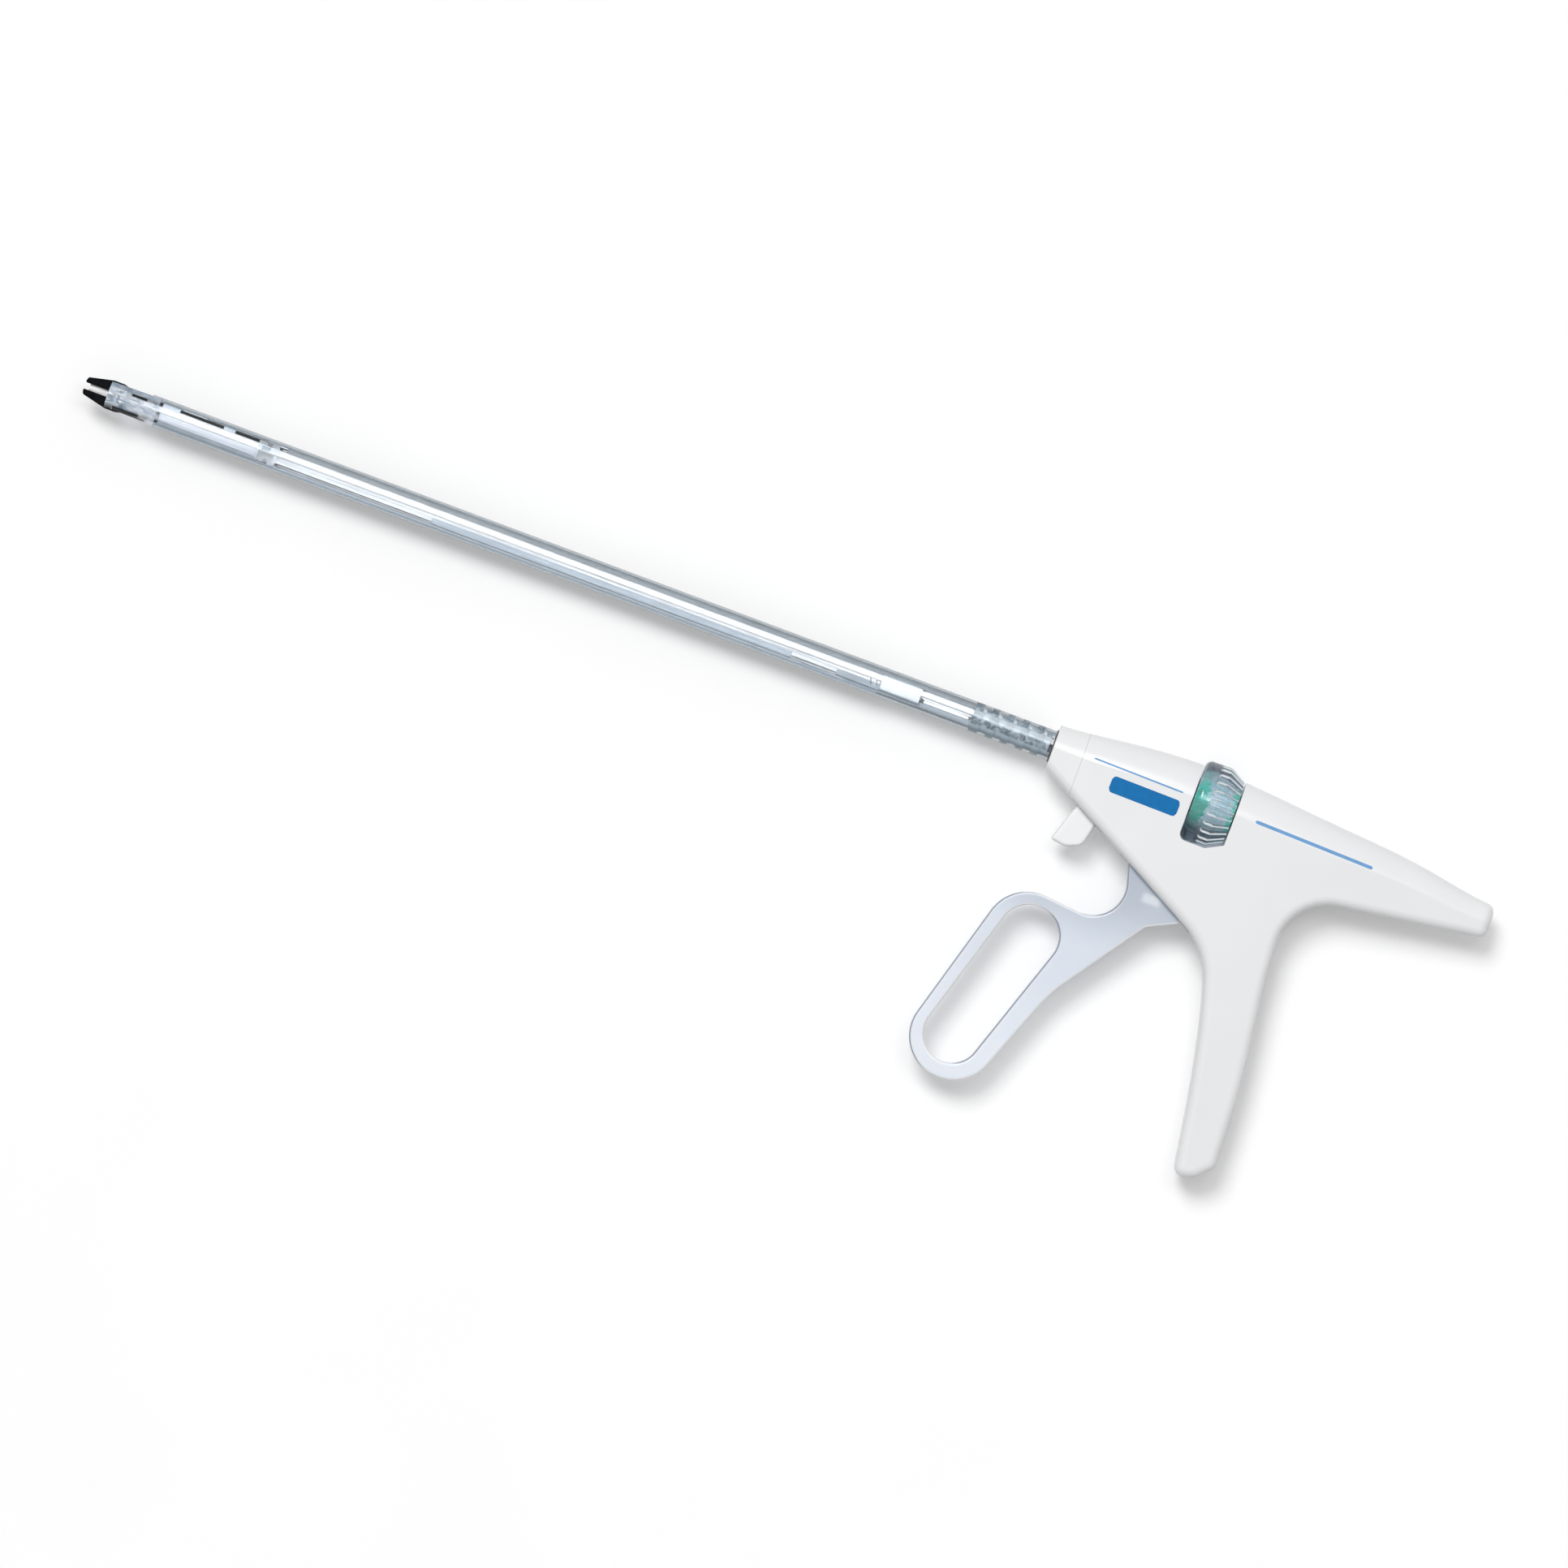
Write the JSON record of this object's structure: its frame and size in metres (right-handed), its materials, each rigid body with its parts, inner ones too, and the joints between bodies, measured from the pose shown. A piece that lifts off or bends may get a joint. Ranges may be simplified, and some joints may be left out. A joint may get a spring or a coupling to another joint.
{
  "type": "endoscopic clip applier",
  "caption": "Long-shafted surgical clip applier with a pistol housing, squeeze lever, trigger, rotation knob and a clear shaft that carries a row of clips to black jaws.",
  "frame": {"origin": "on the shaft's axis, at the housing's front face", "axes": "+X along the shaft towards the housing's tail, +Y to the housing's top, +Z through the housing's thickness, parting plane of the shells at Z = 0"},
  "size_m": [0.4877, 0.1298, 0.027],
  "materials": {
    "white_plastic": "gloss",
    "clear_plastic": "clear gloss",
    "frosted_plastic": "translucent satin",
    "green_plastic": "gloss",
    "grey_plastic": "satin",
    "bearing_plastic": "satin",
    "steel": "satin",
    "black_steel": "satin black",
    "titanium": "satin",
    "rubber_seal": "matte"
  },
  "bodies": {
    "housing": {"nose_cap": "white_plastic", "left_shell": "white_plastic", "right_shell": "white_plastic", "shell_pegs": "white_plastic", "front_bush": "bearing_plastic", "rear_bush": "bearing_plastic", "lever_pivot_pin": "steel", "trigger_pivot_pin": "steel", "closure_return_spring": "steel", "pusher_return_spring": "steel"},
    "shaft": {"outer_tube": "clear_plastic", "nose_fork": "clear_plastic", "rotation_knob": "clear_plastic", "knob_core": "green_plastic", "thrust_ring": "grey_plastic", "seal_plug": "rubber_seal", "clip_magazine": "grey_plastic", "magazine_cover": "white_plastic", "spring_stop_pin": "black_steel", "clip_stack": "titanium", "clip_follower": "grey_plastic", "follower_spring": "steel", "jaw_anchor": "steel", "jaw_pins": "steel", "loaded_clip": "titanium"},
    "closure": {"closure_channel": "steel", "closure_spool": "grey_plastic"},
    "pusher": {"pusher_bar": "steel", "pusher_spool": "grey_plastic"},
    "upper_jaw": {"upper_jaw": "black_steel"},
    "lower_jaw": {"lower_jaw": "black_steel"},
    "lever": {"squeeze_lever": "frosted_plastic"},
    "trigger": {"trigger": "white_plastic"}
  },
  "joints": [
    {"name": "shaft_turn", "type": "hinge", "parent": "housing", "child": "shaft", "pos_m": [0, 0, 0], "axis": [1, 0, 0], "continuous": true},
    {"name": "lever_squeeze", "type": "hinge", "parent": "housing", "child": "lever", "pos_m": [0.0385, -0.0155, 0], "axis": [0, 0, 1], "range_deg": [0, 28], "stiffness_Nm_per_rad": 0.5},
    {"name": "trigger_pull", "type": "hinge", "parent": "housing", "child": "trigger", "pos_m": [0.018, -0.013, 0], "axis": [0, 0, 1], "range_deg": [0, 22], "stiffness_Nm_per_rad": 0.05},
    {"name": "closure_slide", "type": "slide", "parent": "shaft", "child": "closure", "axis": [-1, 0, 0], "range_m": [0, 0.0079], "deforming": ["closure_return_spring"]},
    {"name": "pusher_slide", "type": "slide", "parent": "shaft", "child": "pusher", "axis": [-1, 0, 0], "range_m": [0, 0.00246], "deforming": ["pusher_return_spring"]},
    {"name": "upper_jaw_swing", "type": "hinge", "parent": "shaft", "child": "upper_jaw", "pos_m": [-0.272, 0.00245, 0], "axis": [0, 0, 1], "range_deg": [0, 0.95], "deforming": ["loaded_clip"]},
    {"name": "lower_jaw_swing", "type": "hinge", "parent": "shaft", "child": "lower_jaw", "pos_m": [-0.272, -0.00245, 0], "axis": [0, 0, -1], "range_deg": [0, 0.95]}
  ],
  "couplings": [
    {"joint": "closure_slide", "follows": "lever_squeeze", "m_per_rad": 0.015841},
    {"joint": "upper_jaw_swing", "follows": "lever_squeeze", "ratio": 0.032393},
    {"joint": "lower_jaw_swing", "follows": "lever_squeeze", "ratio": 0.032393},
    {"joint": "trigger_pull", "follows": "pusher_slide", "rad_per_m": 155.99}
  ]
}
